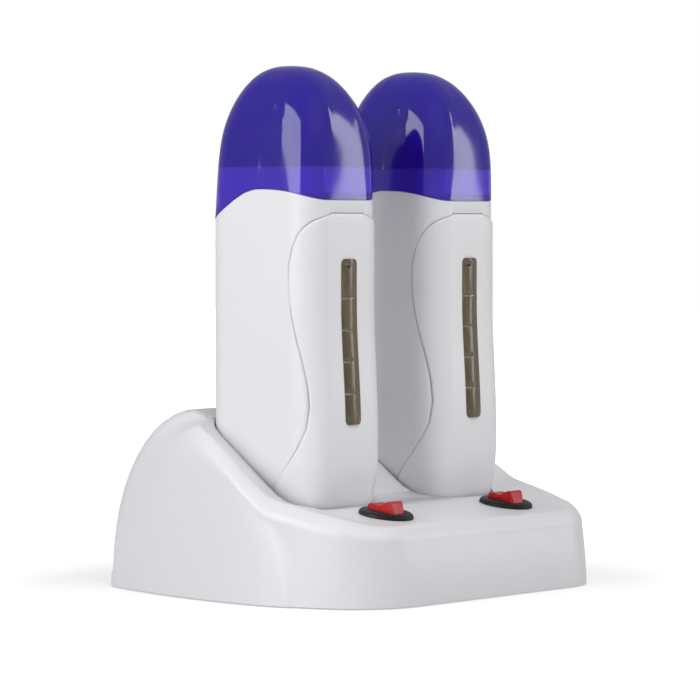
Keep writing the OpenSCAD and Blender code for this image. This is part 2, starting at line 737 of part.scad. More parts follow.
module well_outer(side) {
    translate([side * hp_pitch / 2, well_y, floor_z - well_floor_t]) linear_extrude(crest_z)
        rounded(well_w + 2 * well_wall, well_d + 2 * well_wall, well_r + well_wall);
}

module well_inner(side) {
    translate([side * hp_pitch / 2, well_y, floor_z]) linear_extrude(crest_z) rounded(well_w, well_d, well_r);
}

post_foot_w = 26;
post_foot_d = 14;
boss_d = 8;
boss_back = base_back - 53.5;
boss_places = [[-70, -43], [70, -43], [-56, boss_back], [56, boss_back], [0, -60]];
plate_top_z = foot_h + 2.2;

inlet_w = 19;
inlet_h = 11.5;
inlet_len = 17;
inlet_y = base_back - 1;

module switch_frame(side) {
    translate([side * hp_pitch / 2, -switch_ahead, base_top(-switch_ahead)]) rotate([deck_slope, 0, 0]) children();
}

module base_shell() {
    color(white) translate([0, hp_y, 0]) difference() {
        union() {
            base_skin();
            intersection() {
                union() {
                    well_outer(-1);
                    well_outer(1);
                }
                under_top(base_wall * 0.5, base_w);
            }
            for (p = boss_places) translate([p.x, p.y, plate_top_z + seat_gap])
                cylinder(d = boss_d, h = base_top(min(p.y, crest_behind)) - base_wall * 0.8 - plate_top_z);
        }
        well_inner(-1);
        well_inner(1);
        for (side = [-1, 1]) {
            switch_frame(side) translate([0, 0, -12]) cylinder(d = switch_d + 0.2, h = 24);
            translate([side * hp_pitch / 2, 0, floor_z - 5]) linear_extrude(10)
                stadium(post_w + 0.4, post_t + 0.4);
        }
        for (p = boss_places) translate([p.x, p.y, 0]) cylinder(d = screw_core, h = plate_top_z + 12);
        translate([0, inlet_y - 20, inlet_z]) rotate([-90, 0, 0]) linear_extrude(30) rounded(inlet_w, inlet_h, 3);
    }
}

module base_plate() {
    color("#c9c9cf") translate([0, hp_y, 0]) difference() {
        translate([0, 0, foot_h]) linear_extrude(plate_top_z - foot_h) polygon(plate_outline());
        for (p = boss_places) translate([p.x, p.y, foot_h - 1]) {
            cylinder(d = screw_shank + 0.2, h = 10);
            cylinder(d = screw_head + 1, h = 1 + screw_head_t - 0.2);
        }
        for (p = feet_places) translate([p.x, p.y, 0]) cylinder(d = foot_d + 0.2, h = foot_h + 0.8);
        for (x = [-36 : 12 : 36]) translate([x, 10, 0]) linear_extrude(10) rotate(90) stadium(40, 3);
    }
}

function plate_outline() =
    let (right = [for (c = base_columns(base_wall + 0.5)) [c[0].x, c[0].y]], n = len(right))
    concat(right, [for (i = [n - 1 : -1 : 0]) [-right[i].x, right[i].y]]);

foot_d = 14;
feet_front = 19.5 - base_front;
feet_back = base_back - 21.5;
feet_places = [[-60, feet_front], [60, feet_front], [-50, feet_back], [50, feet_back]];

module rubber_feet() {
    color("#2a2a2c") translate([0, hp_y, 0]) for (p = feet_places) translate([p.x, p.y, 0])
        rotate_extrude() polygon([
            [0, 0], [foot_d / 2 - 1.4, 0], [foot_d / 2 - 0.6, foot_h], [foot_d / 2, foot_h], [foot_d / 2, foot_h + 0.8],
            [0, foot_h + 0.8]
        ]);
}

module base_screws() {
    color(steel) translate([0, hp_y, 0]) for (p = boss_places) translate([p.x, p.y, foot_h]) {
        difference() {
            translate([0, 0, 0.2]) cylinder(d = screw_head, h = screw_head_t - 0.4);
            for (a = [0, 90]) rotate(a) translate([-1.3, -0.35, 0]) cube([2.6, 0.7, 0.8]);
        }
        cylinder(d = screw_core, h = 0.001 + screw_head_t);
        translate([0, 0, 1]) cylinder(d = screw_core, h = 10);
    }
}

// ---- switches ----

bore_gap = 0.3;
pivot_d = 2.4;
pivot_z = 0.3;
pivot_gap = 0.05;
stub = 1.6;
rocker_top_l = rocker_l - 1.2;
bezel_bore_w = rocker_w + 2 * bore_gap;
bezel_bore_l = rocker_l + 2 * 0.75;
switch_depth = 17;

module switch_body(side) {
    color(black) translate([0, hp_y, 0]) switch_frame(side) difference() {
        union() {
            translate([0, 0, seat_gap]) rotate_extrude() polygon(concat(
                [[0, 0], [bezel_d / 2, 0]],
                [for (a = [0 : 15 : 75]) [bezel_d / 2 - 1.7 + 1.7 * cos(a), bezel_h - 1.7 + 1.7 * sin(a)]],
                [[bezel_d / 2 - 2.2, bezel_h], [0, bezel_h]]
            ));
            translate([0, 0, -switch_depth]) cylinder(d = switch_d, h = switch_depth + 1);
        }
        translate([0, 0, -9]) linear_extrude(20) rounded(bezel_bore_w, bezel_bore_l, 1.4);
        translate([-bezel_bore_w / 2 - stub, 0, pivot_z]) rotate([0, 90, 0])
            cylinder(d = pivot_d + 2 * pivot_gap, h = bezel_bore_w + 2 * stub);
    }
}

// Outline of the rocker from the side: sloping ends, two rounded lobes and a saddle between them
function rocker_profile() = concat(
    [[-rocker_l / 2 + 3, -2.6], [rocker_l / 2 - 3, -2.6], [rocker_l / 2, 0], [rocker_l / 2 - 0.1, 2]],
    [for (a = [0 : 18 : 90]) [rocker_top_l / 2 - 1.6 + 1.6 * cos(a), rocker_h - 1.6 + 1.6 * sin(a)]],
    [for (t = [0.8 : -0.2 : -0.81]) [t * (rocker_top_l / 2 - 1.6), rocker_h - 1.5 * (1 + cos(180 * t)) / 2]],
    [for (a = [90 : 18 : 180]) [1.6 - rocker_top_l / 2 + 1.6 * cos(a), rocker_h - 1.6 + 1.6 * sin(a)]],
    [[0.1 - rocker_l / 2, 2], [-rocker_l / 2, 0]]
);

// Rocker on two stub pivots. It rests with its back end pressed.
module rocker(side) {
    color(red) translate([0, hp_y, 0]) switch_frame(side) translate([0, 0, pivot_z]) rotate([-rocker_tilt, 0, 0]) {
        intersection() {
            translate([-rocker_w / 2, 0, 0]) rotate([90, 0, 90]) linear_extrude(rocker_w) polygon(rocker_profile());
            translate([0, 0, -5]) linear_extrude(20) rounded(rocker_w, rocker_l, 1.2);
        }
        for (x = [-1, 1]) translate([x * (rocker_w / 2 - 0.5), 0, 0]) rotate([0, 90 * x, 0])
            cylinder(d = pivot_d, h = stub + 0.5);
    }
}

module switch_terminals() {
    color(brass) translate([0, hp_y, 0]) for (side = [-1, 1]) switch_frame(side)
        for (x = [-1, 1]) translate([x * 4, 0, -switch_depth - 7]) difference() {
            translate([-0.4, -2.4, 0]) cube([0.8, 4.8, 7]);
            translate([0, 0, 2.6]) rotate([0, 90, 0]) cylinder(d = 1.6, h = 4, center = true);
        }
}

// ---- plug posts ----

post_top_z = floor_z + post_h;
sleeve_pin_d = 3.4;

module dock_post(side) {
    color(black) at_hand(side) difference() {
        union() {
            translate([0, 0, floor_z - well_floor_t - 2]) linear_extrude(post_h + well_floor_t + 2)
                stadium(post_w, post_t);
            translate([0, 0, floor_z - well_floor_t - 3]) linear_extrude(3 - fit_gap)
                rounded(post_foot_w, post_foot_d, 3);
        }
        for (x = [-1, 1]) translate([x * pin_pitch / 2, 0, floor_z - 10])
            cylinder(d = sleeve_pin_d, h = post_h + 20);
    }
}

module dock_contacts() {
    color(brass) for (side = [-1, 1]) at_hand(side) for (x = [-1, 1]) translate([x * pin_pitch / 2, 0, 0]) difference() {
        translate([0, 0, floor_z - 9]) cylinder(d = sleeve_pin_d, h = post_h + 9 - 0.8);
        translate([0, 0, floor_z - 2]) cylinder(d = pin_d + 0.1, h = post_h + 10);
    }
}

// ---- mains inlet ----

module mains_inlet() {
    color(black) translate([0, hp_y + inlet_y, inlet_z]) rotate([-90, 0, 0]) difference() {
        translate([0, 0, -inlet_len]) linear_extrude(inlet_len) rounded(inlet_w - 0.3, inlet_h - 0.3, 2.8);
        translate([0, 0, -12]) linear_extrude(20) stadium(16, 8.4);
        for (x = [-1, 1]) translate([x * pin_pitch / 2, 0, -30]) cylinder(d = pin_d, h = 30);
    }
}

module mains_pins() {
    color(brass) translate([0, hp_y + inlet_y, inlet_z]) for (x = [-1, 1])
        translate([x * pin_pitch / 2, 0, 0]) rotate([90, 0, 0]) {
            translate([0, 0, 2.4 + pin_d / 2]) sphere(d = pin_d);
            translate([0, 0, 2.4 + pin_d / 2]) cylinder(d = pin_d, h = inlet_len + 3 - 2.4);
        }
}

module terminal_block() {
    color("#d8d8d0") translate([0, hp_y + base_back - 45.5, plate_top_z]) difference() {
        translate([-14, -6, 0]) cube([28, 12, 12]);
        for (x = [-9, 0, 9]) {
            translate([x, -7, 6]) rotate([-90, 0, 0]) cylinder(d = 3.2, h = 14);
            translate([x, 0, 6]) cylinder(d = 4, h = 7);
        }
    }
}

base_shell();
base_plate();
base_screws();
rubber_feet();
mains_inlet();
mains_pins();
terminal_block();
switch_body(-1);  // switch_body_left
switch_body(1);  // switch_body_right
rocker(-1);  // rocker_left
rocker(1);  // rocker_right
switch_terminals();
dock_post(-1);  // dock_post_left
dock_post(1);  // dock_post_right
dock_contacts();
at_hand(-1) housing();  // housing_left
at_hand(-1) front_cover();  // front_cover_left
at_hand(-1) window();  // window_left
at_hand(-1) cartridge_sleeve();  // cartridge_sleeve_left
at_hand(-1) heating_plate();  // heating_plate_left
at_hand(-1) ptc_element();  // ptc_element_left
at_hand(-1) thermostat();  // thermostat_left
at_hand(-1) heater_leads();  // heater_leads_left
at_hand(-1) socket_block();  // socket_block_left
at_hand(-1) socket_pins();  // socket_pins_left
at_hand(-1) socket_screws();  // socket_screws_left
at_hand(-1) cap();  // cap_left
at_hand(1) housing();  // housing_right
at_hand(1) front_cover();  // front_cover_right
at_hand(1) window();  // window_right
at_hand(1) cartridge_sleeve();  // cartridge_sleeve_right
at_hand(1) heating_plate();  // heating_plate_right
at_hand(1) ptc_element();  // ptc_element_right
at_hand(1) thermostat();  // thermostat_right
at_hand(1) heater_leads();  // heater_leads_right
at_hand(1) socket_block();  // socket_block_right
at_hand(1) socket_pins();  // socket_pins_right
at_hand(1) socket_screws();  // socket_screws_right
at_hand(1) cap();  // cap_right
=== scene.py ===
# %% [markdown]
# # A double roll-on wax heater
# Two upright handpieces with violet caps stand in a white docking base. The solids come from the packed
# model; this lesson gives them their finishes, rounds what a mould leaves round, and sets up a small studio.

# %% Load the frame
import math
import bpy
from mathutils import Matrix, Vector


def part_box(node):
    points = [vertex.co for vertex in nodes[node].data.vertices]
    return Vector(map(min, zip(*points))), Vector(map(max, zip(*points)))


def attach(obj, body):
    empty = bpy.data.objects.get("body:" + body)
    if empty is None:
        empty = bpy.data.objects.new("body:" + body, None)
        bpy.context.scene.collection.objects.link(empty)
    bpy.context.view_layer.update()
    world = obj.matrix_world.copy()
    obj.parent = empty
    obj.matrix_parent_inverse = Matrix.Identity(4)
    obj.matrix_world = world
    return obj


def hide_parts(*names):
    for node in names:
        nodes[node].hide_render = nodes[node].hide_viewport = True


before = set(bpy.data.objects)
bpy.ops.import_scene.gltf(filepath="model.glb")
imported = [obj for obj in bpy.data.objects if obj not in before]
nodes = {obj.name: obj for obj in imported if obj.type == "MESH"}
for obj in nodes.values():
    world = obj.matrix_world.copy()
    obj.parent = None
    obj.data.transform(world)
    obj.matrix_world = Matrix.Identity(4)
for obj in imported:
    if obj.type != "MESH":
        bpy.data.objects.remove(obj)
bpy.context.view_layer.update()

# %% [markdown]
# ## The camera
# The photograph is a catalogue shot from the front left, almost level and from far away, so the uprights stay
# parallel. A long lens does that; a wide one close up would splay them. The camera looks slightly down.

# %% Camera
VIEW_TURN = math.radians(50.5)
VIEW_DIP = math.radians(1.876)
SENSOR_MM, LENS_MM = 36.0, 191.31
STANDPOINT = (-1.3557, -1.1220, 0.1691)
camera_data = bpy.data.cameras.new("studio_camera")
camera_data.sensor_width = SENSOR_MM
camera_data.lens = LENS_MM
camera_data.clip_start, camera_data.clip_end = 0.05, 30.0
camera = bpy.data.objects.new("studio_camera", camera_data)
camera.location = STANDPOINT
camera.rotation_euler = (math.pi / 2 - VIEW_DIP, 0.0, -VIEW_TURN)
bpy.context.scene.collection.objects.link(camera)
bpy.context.scene.camera = camera
bpy.context.scene.view_settings.view_transform = "Standard"
print("camera lens", camera_data.lens, "mm")

# %% [markdown]
# ## Helpers for materials
# Colours are picked as sRGB hex values, the numbers that a paint chart or a screen gives. Shaders work in
# linear light, so one function converts them. A second small function adds any node, sets it up and links it.

# %% Colour and node helpers
def linear(hex_colour):
    channels = [int(hex_colour[i:i + 2], 16) / 255 for i in (1, 3, 5)]
    return [c / 12.92 if c <= 0.04045 else ((c + 0.055) / 1.055) ** 2.4 for c in channels] + [1.0]


def add(tree, kind, inputs=None, links=None, **settings):
    made = tree.nodes.new(kind)
    for name, value in settings.items():
        setattr(made, name, value)
    for name, value in (inputs or {}).items():
        made.inputs[name].default_value = value
    for name, socket in (links or {}).items():
        tree.links.new(socket, made.inputs[name])
    return made


def new_material(name):
    material = bpy.data.materials.new(name)
    material.use_nodes = True
    material.node_tree.nodes.clear()
    return material, material.node_tree


def per_metre(size_mm):
    # A noise texture's scale is how many of its features fit in one metre of Object coordinates
    return 1000.0 / size_mm


print("white of the mouldings, linear:", [round(v, 3) for v in linear("#e4e4e9")[:3]])

# %% [markdown]
# ## White ABS
# The base, the housings and their front covers are injection-moulded ABS from a smooth mould. To the eye that
# is a clean cool white with a soft gloss, broken by a very slight orange peel where the plastic shrank, and by
# handling marks that dull the gloss in patches. A flat colour would look like paper; a noise on the roughness and
# a faint bump at about 2 mm make the reflections look moulded.

# %% White ABS
def white_abs(name, colour, deeper):
    material, tree = new_material(name)
    place = add(tree, "ShaderNodeTexCoord").outputs["Object"]
    flow = add(tree, "ShaderNodeTexNoise", {"Scale": per_metre(70), "Detail": 2.0}, {"Vector": place})
    tint = add(tree, "ShaderNodeMix", {6: linear(colour), 7: linear(deeper)},
               {"Factor": flow.outputs["Fac"]}, data_type="RGBA")
    patches = add(tree, "ShaderNodeTexNoise", {"Scale": per_metre(9), "Detail": 4.0}, {"Vector": place})
    gloss = add(tree, "ShaderNodeMapRange", {"To Min": 0.26, "To Max": 0.38}, {"Value": patches.outputs["Fac"]})
    peel = add(tree, "ShaderNodeTexNoise", {"Scale": per_metre(2.2), "Detail": 2.0}, {"Vector": place})
    bump = add(tree, "ShaderNodeBump", {"Strength": 0.10, "Distance": 0.00006}, {"Height": peel.outputs["Fac"]})
    surface = add(tree, "ShaderNodeBsdfPrincipled", {"IOR": 1.53},
                  {"Base Color": tint.outputs[2], "Roughness": gloss.outputs["Result"],
                   "Normal": bump.outputs["Normal"]})
    add(tree, "ShaderNodeOutputMaterial", {}, {"Surface": surface.outputs["BSDF"]})
    return material


base_white = white_abs("white_abs_base", "#dadadd", "#d5d5d9")
body_white = white_abs("white_abs_handpiece", "#e0e0e2", "#dbdbde")
print("made", base_white.name, "and", body_white.name)

# %% [markdown]
# ## Violet cap
# Each cap is a deep violet moulding in tinted polycarbonate, nearly opaque over its empty dome. From the rim up to
# the top of the white neck inside, the neck shines through. One shader does both: below the neck's top more of it
# is transmission, so that the neck itself is seen, and its violet is painted lighter as a painted glow of the neck
# behind the wall; above, the pigment hides the hollow.

# %% Cap plastic
NECK_TOP = 0.197
cap_violet, tree = new_material("violet_tinted_polycarbonate")
place = add(tree, "ShaderNodeTexCoord").outputs["Object"]
height = add(tree, "ShaderNodeSeparateXYZ", {}, {"Vector": place}).outputs["Z"]
dome = add(tree, "ShaderNodeMapRange", {"From Min": NECK_TOP - 0.0006, "From Max": NECK_TOP + 0.0006},
           {"Value": height}, interpolation_type="SMOOTHSTEP").outputs["Result"]
cloud = add(tree, "ShaderNodeTexNoise", {"Scale": per_metre(60), "Detail": 1.0}, {"Vector": place})
deep = add(tree, "ShaderNodeMix", {6: linear("#3013b0"), 7: linear("#2b10a4")},
           {"Factor": cloud.outputs["Fac"]}, data_type="RGBA")
# painted light: below the neck's top the violet is painted lighter, standing in for the lit neck shining through
tint = add(tree, "ShaderNodeMix", {6: linear("#6a48e4")}, {"Factor": dome, 7: deep.outputs[2]}, data_type="RGBA")
clear = add(tree, "ShaderNodeMapRange", {"To Min": 0.8, "To Max": 0.45}, {"Value": dome})
rubbed = add(tree, "ShaderNodeTexNoise", {"Scale": per_metre(14), "Detail": 5.0}, {"Vector": place})
gloss = add(tree, "ShaderNodeMapRange", {"To Min": 0.06, "To Max": 0.12}, {"Value": rubbed.outputs["Fac"]})
ripple = add(tree, "ShaderNodeTexNoise", {"Scale": per_metre(6), "Detail": 1.0}, {"Vector": place})
bump = add(tree, "ShaderNodeBump", {"Strength": 0.06, "Distance": 0.0001}, {"Height": ripple.outputs["Fac"]})
surface = add(tree, "ShaderNodeBsdfPrincipled", {"IOR": 1.6},
              {"Base Color": tint.outputs[2], "Roughness": gloss.outputs["Result"], "Normal": bump.outputs["Normal"],
               "Transmission Weight": clear.outputs["Result"]})
add(tree, "ShaderNodeOutputMaterial", {}, {"Surface": surface.outputs["BSDF"]})
print("made", cap_violet.name)

# %% [markdown]
# ## Clear window
# The level window is a clear polycarbonate bar. Seen from outside it is a warm grey: the dim inside of the sleeve
# is painted into its colour as painted shade, darker towards its left edge, with a film of wax that makes it
# yellowish along its length. Long streaks come from a noise that is squeezed across and stretched along the bar.
# Both windows share the finish, so the place across a bar is its X folded over the distance between the two.

# %% Window plastic
window_clear, tree = new_material("clear_polycarbonate_window")
place = add(tree, "ShaderNodeTexCoord").outputs["Object"]
stretched = add(tree, "ShaderNodeMapping", {"Scale": (1.0, 1.0, 0.08)}, {"Vector": place})
streak = add(tree, "ShaderNodeTexNoise", {"Scale": per_metre(5), "Detail": 3.0},
             {"Vector": stretched.outputs["Vector"]})
BAR_X = (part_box("window_right")[0][0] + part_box("window_right")[1][0]) / 2
along_x = add(tree, "ShaderNodeSeparateXYZ", {}, {"Vector": place}).outputs["X"]
folded = add(tree, "ShaderNodeMath", {1: 2 * BAR_X, 2: 0.0}, {0: along_x}, operation="WRAP")
# painted shade: across the bar the colour darkens towards its left edge, for the shaded inside of the sleeve
across = add(tree, "ShaderNodeMapRange", {"From Min": BAR_X - 0.004, "From Max": BAR_X + 0.003},
             {"Value": folded.outputs[0]})
edge = add(tree, "ShaderNodeMix", {6: linear("#5c534a"), 7: linear("#8c8276")},
           {"Factor": across.outputs["Result"]}, data_type="RGBA")
tint = add(tree, "ShaderNodeMix", {7: linear("#8c7c56")},
           {"Factor": streak.outputs["Fac"], 6: edge.outputs[2]}, data_type="RGBA")
haze = add(tree, "ShaderNodeMapRange", {"To Min": 0.08, "To Max": 0.22}, {"Value": streak.outputs["Fac"]})
surface = add(tree, "ShaderNodeBsdfPrincipled", {"IOR": 1.5, "Transmission Weight": 0.55},
              {"Base Color": tint.outputs[2], "Roughness": haze.outputs["Result"]})
add(tree, "ShaderNodeOutputMaterial", {}, {"Surface": surface.outputs["BSDF"]})
print("made", window_clear.name)

# %% [markdown]
# ## Red rockers
# Lit rockers are moulded in translucent red polycarbonate, so that their lamp shows. Unlit they are a strong red
# with dark thin edges and glassy glints.

# %% Rocker plastic
rocker_red, tree = new_material("translucent_red_polycarbonate")
place = add(tree, "ShaderNodeTexCoord").outputs["Object"]
depth = add(tree, "ShaderNodeTexNoise", {"Scale": per_metre(8), "Detail": 2.0}, {"Vector": place})
tint = add(tree, "ShaderNodeMix", {6: linear("#c8191c"), 7: linear("#ae1418")},
           {"Factor": depth.outputs["Fac"]}, data_type="RGBA")
gloss = add(tree, "ShaderNodeMapRange", {"To Min": 0.2, "To Max": 0.32}, {"Value": depth.outputs["Fac"]})
surface = add(tree, "ShaderNodeBsdfPrincipled", {"IOR": 1.42, "Transmission Weight": 0.12},
              {"Base Color": tint.outputs[2], "Roughness": gloss.outputs["Result"]})
add(tree, "ShaderNodeOutputMaterial", {}, {"Surface": surface.outputs["BSDF"]})
print("made", rocker_red.name)

# %% [markdown]
# ## Black mouldings
# The switch bezels, the plug posts, the sockets and the mains inlet are black glass-filled nylon. The bezels are
# satin: the glass fibres leave a fine grain. It is about 0.2 mm on the real part and drawn at 0.5 mm here.

# %% Black nylon
black_nylon, tree = new_material("black_glass_filled_nylon")
place = add(tree, "ShaderNodeTexCoord").outputs["Object"]
grain = add(tree, "ShaderNodeTexNoise", {"Scale": per_metre(0.5), "Detail": 3.0}, {"Vector": place})
tint = add(tree, "ShaderNodeMix", {6: linear("#0f0f11"), 7: linear("#161618")},
           {"Factor": grain.outputs["Fac"]}, data_type="RGBA")
gloss = add(tree, "ShaderNodeMapRange", {"To Min": 0.4, "To Max": 0.55}, {"Value": grain.outputs["Fac"]})
bump = add(tree, "ShaderNodeBump", {"Strength": 0.12, "Distance": 0.00004}, {"Height": grain.outputs["Fac"]})
surface = add(tree, "ShaderNodeBsdfPrincipled", {"IOR": 1.4},
              {"Base Color": tint.outputs[2], "Roughness": gloss.outputs["Result"],
               "Normal": bump.outputs["Normal"]})
add(tree, "ShaderNodeOutputMaterial", {}, {"Surface": surface.outputs["BSDF"]})
print("made", black_nylon.name)

# %% [markdown]
# ## Inner plastics
# The base plate is spark-textured grey ABS, the sleeve is satin white polypropylene that stands the heat, and the
# terminal block is natural nylon. They share one recipe and differ in colour, grain and gloss.

# %% Satin plastics
def satin_plastic(name, colour, deeper, grain_mm, low, high, depth_m):
    material, tree = new_material(name)
    place = add(tree, "ShaderNodeTexCoord").outputs["Object"]
    grain = add(tree, "ShaderNodeTexNoise", {"Scale": per_metre(grain_mm), "Detail": 3.0}, {"Vector": place})
    tint = add(tree, "ShaderNodeMix", {6: linear(colour), 7: linear(deeper)},
               {"Factor": grain.outputs["Fac"]}, data_type="RGBA")
    gloss = add(tree, "ShaderNodeMapRange", {"To Min": low, "To Max": high}, {"Value": grain.outputs["Fac"]})
    bump = add(tree, "ShaderNodeBump", {"Strength": 0.3, "Distance": depth_m}, {"Height": grain.outputs["Fac"]})
    surface = add(tree, "ShaderNodeBsdfPrincipled", {"IOR": 1.5},
                  {"Base Color": tint.outputs[2], "Roughness": gloss.outputs["Result"],
                   "Normal": bump.outputs["Normal"]})
    add(tree, "ShaderNodeOutputMaterial", {}, {"Surface": surface.outputs["BSDF"]})
    return material


plate_grey = satin_plastic("spark_textured_grey_abs", "#c6c6cc", "#bdbdc4", 0.7, 0.5, 0.7, 0.00008)
sleeve_white = satin_plastic("satin_white_polypropylene", "#dddde2", "#d4d4da", 1.5, 0.32, 0.46, 0.00003)
nylon_natural = satin_plastic("natural_nylon", "#d8d8d0", "#cfcfc4", 2.0, 0.35, 0.5, 0.00003)
foot_rubber = satin_plastic("moulded_black_rubber", "#2a2a2c", "#232325", 0.8, 0.7, 0.9, 0.00006)
element_ceramic = satin_plastic("heater_ceramic", "#d9d3c4", "#cbc3b0", 0.9, 0.6, 0.8, 0.00004)
lead_silicone = satin_plastic("red_silicone_lead", "#b8452f", "#a83c29", 1.2, 0.45, 0.6, 0.00003)
INNER = (plate_grey, sleeve_white, nylon_natural, foot_rubber, element_ceramic, lead_silicone)
print("made", [material.name for material in INNER])

# %% [markdown]
# ## Metals
# The heating plate is rolled aluminium with its grain along its height, the contacts are drawn brass, and the
# screws are zinc-plated steel. Rolling and drawing leave fine lines one way, so each noise is stretched that way.

# %% Metals
def drawn_metal(name, colour, deeper, stretch, line_mm, low, high):
    material, tree = new_material(name)
    place = add(tree, "ShaderNodeTexCoord").outputs["Object"]
    along = add(tree, "ShaderNodeMapping", {"Scale": stretch}, {"Vector": place})
    lines = add(tree, "ShaderNodeTexNoise", {"Scale": per_metre(line_mm), "Detail": 4.0},
                {"Vector": along.outputs["Vector"]})
    tint = add(tree, "ShaderNodeMix", {6: linear(colour), 7: linear(deeper)},
               {"Factor": lines.outputs["Fac"]}, data_type="RGBA")
    gloss = add(tree, "ShaderNodeMapRange", {"To Min": low, "To Max": high}, {"Value": lines.outputs["Fac"]})
    bump = add(tree, "ShaderNodeBump", {"Strength": 0.15, "Distance": 0.00002}, {"Height": lines.outputs["Fac"]})
    surface = add(tree, "ShaderNodeBsdfPrincipled", {"Metallic": 1.0},
                  {"Base Color": tint.outputs[2], "Roughness": gloss.outputs["Result"],
                   "Normal": bump.outputs["Normal"]})
    add(tree, "ShaderNodeOutputMaterial", {}, {"Surface": surface.outputs["BSDF"]})
    return material


plate_aluminium = drawn_metal("rolled_aluminium", "#c2c5ca", "#aeb1b7", (1.0, 1.0, 0.05), 0.6, 0.25, 0.42)
contact_brass = drawn_metal("drawn_brass", "#cfab60", "#b99247", (1.0, 1.0, 0.1), 0.4, 0.18, 0.32)
screw_zinc = drawn_metal("zinc_plated_steel", "#a4a7ad", "#8f9298", (1.0, 1.0, 1.0), 0.8, 0.3, 0.42)
print("made", [m.name for m in (plate_aluminium, contact_brass, screw_zinc)])

# %% [markdown]
# ## Finishes on the CAD nodes
# Each CAD solid keeps its mesh; only its material slots change. A table from the start of a node's name to its
# finish is enough, because the names say what each piece is.

# %% Give the nodes their finishes
FINISHES = {
    "base_shell": base_white, "housing": body_white, "front_cover": body_white, "cap": cap_violet,
    "window": window_clear, "rocker": rocker_red, "switch_body": black_nylon, "dock_post": black_nylon,
    "socket_block": black_nylon, "mains_inlet": black_nylon, "base_plate": plate_grey,
    "cartridge_sleeve": sleeve_white, "terminal_block": nylon_natural, "rubber_feet": foot_rubber,
    "heating_plate": plate_aluminium, "ptc_element": element_ceramic, "thermostat": screw_zinc,
    "heater_leads": lead_silicone, "dock_contacts": contact_brass, "socket_pins": contact_brass,
    "mains_pins": contact_brass, "switch_terminals": contact_brass, "base_screws": screw_zinc,
    "socket_screws": screw_zinc,
}
for name, node in nodes.items():
    start = max((key for key in FINISHES if name.startswith(key)), key=len)
    for material_slot in node.material_slots:
        material_slot.material = FINISHES[start]
    print(name, "->", FINISHES[start].name)

# %% [markdown]
# ## Smooth copies of the moulded skins
# The CAD solids of the base, the housings, the covers, the caps and the windows are built from flat facets. The real
# mouldings are smooth. We could model them again from nothing, but the facets already lie on the right surface, so
# we copy each mesh, merge its loose triangles, and shade it smooth wherever two facets meet at a small angle.
# The base breaks its shading at a smaller angle, which keeps the line across its cheek. Weighted normals keep the
# big flat faces flat next to the thin ones. The copy then stands for the CAD node.

# %% Smooth copies
SIDES = ("left", "right")
BODY_OF = {"base_shell": "base"}
for side in SIDES:
    for piece in ("housing", "front_cover", "window"):
        BODY_OF[f"{piece}_{side}"] = f"handpiece_{side}"
    BODY_OF[f"cap_{side}"] = f"cap_{side}"
    BODY_OF[f"rocker_{side}"] = f"rocker_{side}"


def pick_only(obj):
    bpy.ops.object.select_all(action="DESELECT")
    obj.select_set(True)
    bpy.context.view_layer.objects.active = obj


MERGE_DISTANCE = 0.000002


def merged_copy(node_name, new_name):
    copy = bpy.data.objects.new(new_name, nodes[node_name].data.copy())
    bpy.context.scene.collection.objects.link(copy)
    pick_only(copy)
    bpy.ops.object.mode_set(mode="EDIT")
    bpy.ops.mesh.select_all(action="SELECT")
    bpy.ops.mesh.remove_doubles(threshold=MERGE_DISTANCE)
    bpy.ops.object.mode_set(mode="OBJECT")
    return copy


def shade_round(obj, degrees, keep_flats):
    pick_only(obj)
    bpy.ops.object.shade_smooth_by_angle(angle=math.radians(degrees))
    if keep_flats:
        bpy.ops.object.modifier_add(type="WEIGHTED_NORMAL")
        obj.modifiers[-1].keep_sharp = True
        bpy.ops.object.modifier_apply(modifier=obj.modifiers[-1].name)


def stand_in(obj, node_name):
    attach(obj, BODY_OF[node_name])
    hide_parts(node_name)


BASE_ANGLE, BODY_ANGLE = 28, 34
SMOOTH = [("base_shell", BASE_ANGLE)]
for side in SIDES:
    SMOOTH += [(f"{piece}_{side}", BODY_ANGLE) for piece in ("housing", "front_cover", "window")]
for node_name, degrees in SMOOTH:
    smooth = merged_copy(node_name, f"{node_name}_smooth")
    shade_round(smooth, degrees, keep_flats=True)
    stand_in(smooth, node_name)
    print(smooth.name, len(smooth.data.polygons), "faces")

# %% [markdown]
# ## Level marks
# Fine marks run across half of each window. They are grooves in the clear bar, filled with pale ink so that they
# read against the wax. We find the grooves in the copied mesh: their upper and lower walls are the only faces that
# lie level inside the bar. Every face between such a pair of walls gets the ink.

# %% Inked marks
mark_ink = satin_plastic("pale_level_mark_ink", "#c9c3b8", "#bcb6aa", 0.8, 0.4, 0.6, 0.00002)
MARK_HEIGHT = 0.0009
for side in SIDES:
    bar = bpy.data.objects[f"window_{side}_smooth"]
    low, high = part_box(f"window_{side}")
    bar.data.materials.append(mark_ink)
    walls = sorted({round(face.center.z, 5) for face in bar.data.polygons
                    if abs(face.normal.z) > 0.95 and low[2] + 0.004 < face.center.z < high[2] - 0.004})
    bands = [(a, b) for a, b in zip(walls, walls[1:]) if b - a < MARK_HEIGHT]
    inked = 0
    for face in bar.data.polygons:
        heights = [bar.data.vertices[i].co.z for i in face.vertices]
        if any(a - 1e-5 <= min(heights) and max(heights) <= b + 1e-5 for a, b in bands):
            face.material_index = len(bar.data.materials) - 1
            inked += 1
    print(bar.name, len(bands), "marks,", inked, "faces inked")

# %% [markdown]
# ## Crowned caps
# A moulder never makes a large face dead flat: it would sink in as it cools, so it is crowned by a fraction of a
# millimetre. On a dark glossy cap that crown is what turns a softbox into a soft-edged upright strip. The copy of
# each cap has its triangles joined into a grid, is cut by upright planes to give its flat faces points in the
# middle, and a Displace modifier pushes those out by a third of a millimetre. Subdivision then rounds the facets,
# with the rim's edges creased so that they stay sharp.

